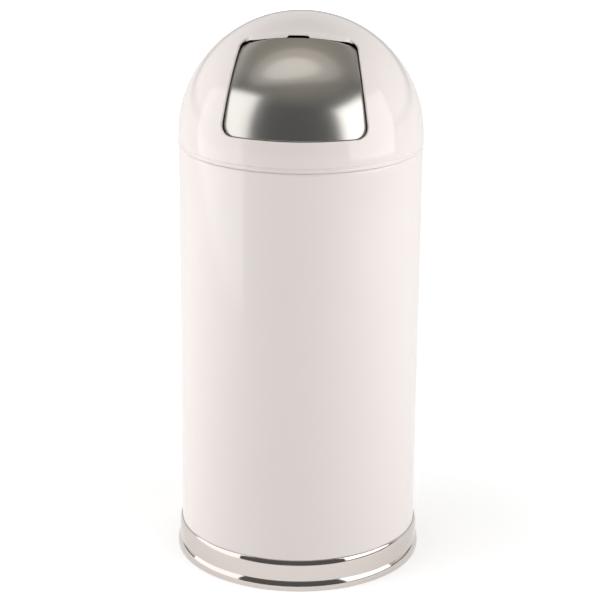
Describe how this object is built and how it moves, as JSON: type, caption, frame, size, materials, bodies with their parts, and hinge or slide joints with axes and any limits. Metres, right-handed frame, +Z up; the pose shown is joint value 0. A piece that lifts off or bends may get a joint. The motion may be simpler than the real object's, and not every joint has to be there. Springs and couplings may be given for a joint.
{
  "type": "dome top waste receptacle",
  "caption": "Round steel waste can with a lift-off dome, a sprung push door hung in the dome, a chrome base ring and a lift-out liner with a bail.",
  "frame": {"origin": "on the floor under the middle of the can", "axes": "+Z up along the can's axis, +X to the right of someone facing the door, door on the -Y side"},
  "size_m": [0.4055, 0.4056, 0.9033],
  "materials": {
    "white_enamel": "gloss white baked enamel on steel sheet",
    "chrome": "bright chrome plate on rolled steel",
    "brushed_stainless": "satin stainless steel, grain running across the door",
    "spring_steel": "bright drawn spring steel",
    "galvanised": "hot-dip galvanised steel, fine spangle",
    "nylon": "natural nylon",
    "rubber": "black moulded rubber"
  },
  "bodies": {
    "can": {"body_shell": "white_enamel", "floor_pan": "white_enamel", "base_ring": "chrome"},
    "dome": {"dome_shell": "white_enamel", "dome_collar": "white_enamel", "hinge_bracket_left": "white_enamel", "hinge_bracket_right": "white_enamel", "hinge_rod": "spring_steel", "rod_push_nuts": "galvanised", "rod_washers": "nylon", "door_spring": "spring_steel"},
    "door": {"push_door": "brushed_stainless", "hinge_leaf_left": "brushed_stainless", "hinge_leaf_right": "brushed_stainless", "door_stop_lip": "brushed_stainless", "bumper_left": "rubber", "bumper_right": "rubber"},
    "liner": {"liner_shell": "galvanised", "liner_bottom": "galvanised", "liner_ear_left": "galvanised", "liner_ear_right": "galvanised", "ear_rivets": "galvanised"},
    "bail": {"liner_bail": "galvanised"}
  },
  "joints": [
    {"name": "dome_lift", "type": "slide", "parent": "can", "child": "dome", "axis": [0, 0, 1], "range_m": [0, 1.15]},
    {"name": "door_swing", "type": "hinge", "parent": "dome", "child": "door", "pos_m": [0, -0.06858, 0.87435], "axis": [1, 0, 0], "range_deg": [0, 60], "stiffness_Nm_per_rad": 0.35, "springref_deg": -80.21, "deforming": ["door_spring"]},
    {"name": "liner_lift", "type": "slide", "parent": "can", "child": "liner", "axis": [0, 0, 1], "range_m": [0, 0.69]},
    {"name": "bail_swing", "type": "hinge", "parent": "liner", "child": "bail", "pos_m": [0, 0, 0.6581], "axis": [1, 0, 0], "range_deg": [0, 180]}
  ],
  "couplings": [
    {"joint": "liner_lift", "follows": "dome_lift", "ratio": 0.6}
  ]
}
